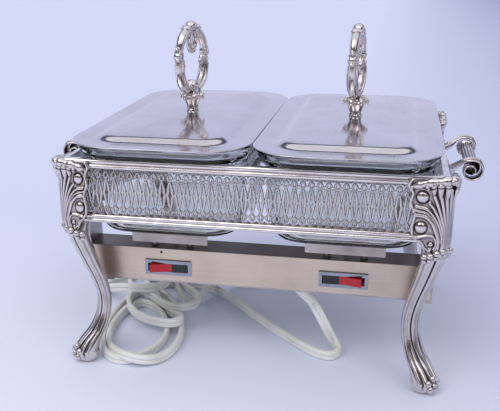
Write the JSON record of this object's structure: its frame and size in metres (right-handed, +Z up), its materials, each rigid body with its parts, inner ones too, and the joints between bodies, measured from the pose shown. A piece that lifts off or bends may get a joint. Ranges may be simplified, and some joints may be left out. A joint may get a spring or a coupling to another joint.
{
  "type": "electric buffet food warmer",
  "caption": "Footed pierced buffet stand with oblong glass dishes, lift-off lids with ring handles, and an electric warming bar with rocker switches beneath.",
  "frame": {"origin": "on the table top, below the centre of the stand", "axes": "+X along the front towards the right-hand end handle, +Y towards the back, +Z up"},
  "size_m": [0.4272, 0.314, 0.327],
  "materials": {
    "cast_silver": "silver plate on cast metal, tarnished dark in the recesses",
    "pierced_silver": "silver-plated pierced strip, lightly tarnished",
    "silver_moulding": "polished silver-plated moulding",
    "mirror_silver": "mirror-polished silver plate",
    "dish_glass": "clear pressed oven glass",
    "champagne_metal": "champagne anodised, brushed along its length",
    "bright_steel": "bright rolled sheet",
    "zinc_fixings": "zinc plated",
    "element_foil": "foil-faced sealed element",
    "chromed_bezel": "chromed frame, black inside",
    "rocker_red": "glossy red rocker, one half dark",
    "ivory_pvc": "aged ivory PVC",
    "phenolic": "brown moulded phenolic",
    "lead_sleeve": "woven glass sleeve"
  },
  "bodies": {
    "stand": {"base_rail_back": "silver_moulding", "base_rail_front": "silver_moulding", "base_rail_left": "silver_moulding", "base_rail_right": "silver_moulding", "base_screws": "zinc_fixings", "centre_bar": "silver_moulding", "cord": "ivory_pvc", "cord_gland": "ivory_pvc", "cord_hank": "ivory_pvc", "cord_tail": "ivory_pvc", "end_handle_left": "cast_silver", "end_handle_right": "cast_silver", "gallery_back": "pierced_silver", "gallery_front": "pierced_silver", "gallery_left": "pierced_silver", "gallery_right": "pierced_silver", "hanger_left": "bright_steel", "hanger_right": "bright_steel", "hanger_screws": "zinc_fixings", "heating_element_left": "element_foil", "heating_element_right": "element_foil", "hot_plate_left": "bright_steel", "hot_plate_right": "bright_steel", "inner_leads": "lead_sleeve", "leg_back_left": "cast_silver", "leg_back_right": "cast_silver", "leg_front_left": "cast_silver", "leg_front_right": "cast_silver", "leg_nuts": "zinc_fixings", "plate_studs": "zinc_fixings", "plug": "ivory_pvc", "stud_nuts": "zinc_fixings", "switch_housing_left": "chromed_bezel", "switch_housing_right": "chromed_bezel", "terminal_block": "phenolic", "top_rail_back": "silver_moulding", "top_rail_front": "silver_moulding", "top_rail_left": "silver_moulding", "top_rail_right": "silver_moulding", "warmer_base": "bright_steel", "warmer_case": "champagne_metal"},
    "left_dish": {"dish_left": "dish_glass"},
    "left_lid": {"lid_left": "mirror_silver", "lid_handle_left": "cast_silver", "lid_nut_left": "zinc_fixings"},
    "left_rocker": {"rocker_left": "rocker_red"},
    "right_dish": {"dish_right": "dish_glass"},
    "right_lid": {"lid_right": "mirror_silver", "lid_handle_right": "cast_silver", "lid_nut_right": "zinc_fixings"},
    "right_rocker": {"rocker_right": "rocker_red"}
  },
  "joints": [
    {"name": "left_dish_lift", "type": "slide", "parent": "stand", "child": "left_dish", "axis": [0, 0, 1], "range_m": [0, 0.12]},
    {"name": "left_lid_lift", "type": "slide", "parent": "left_dish", "child": "left_lid", "axis": [0, 0, 1], "range_m": [0, 0.12]},
    {"name": "left_rocker_tilt", "type": "hinge", "parent": "stand", "child": "left_rocker", "pos_m": [-0.0872, -0.0965, 0.0924], "axis": [0, 0, 1], "range_deg": [-16, 0]},
    {"name": "right_dish_lift", "type": "slide", "parent": "stand", "child": "right_dish", "axis": [0, 0, 1], "range_m": [0, 0.12]},
    {"name": "right_lid_lift", "type": "slide", "parent": "right_dish", "child": "right_lid", "axis": [0, 0, 1], "range_m": [0, 0.12]},
    {"name": "right_rocker_tilt", "type": "hinge", "parent": "stand", "child": "right_rocker", "pos_m": [0.0856, -0.0965, 0.0924], "axis": [0, 0, 1], "range_deg": [0, 16]}
  ]
}
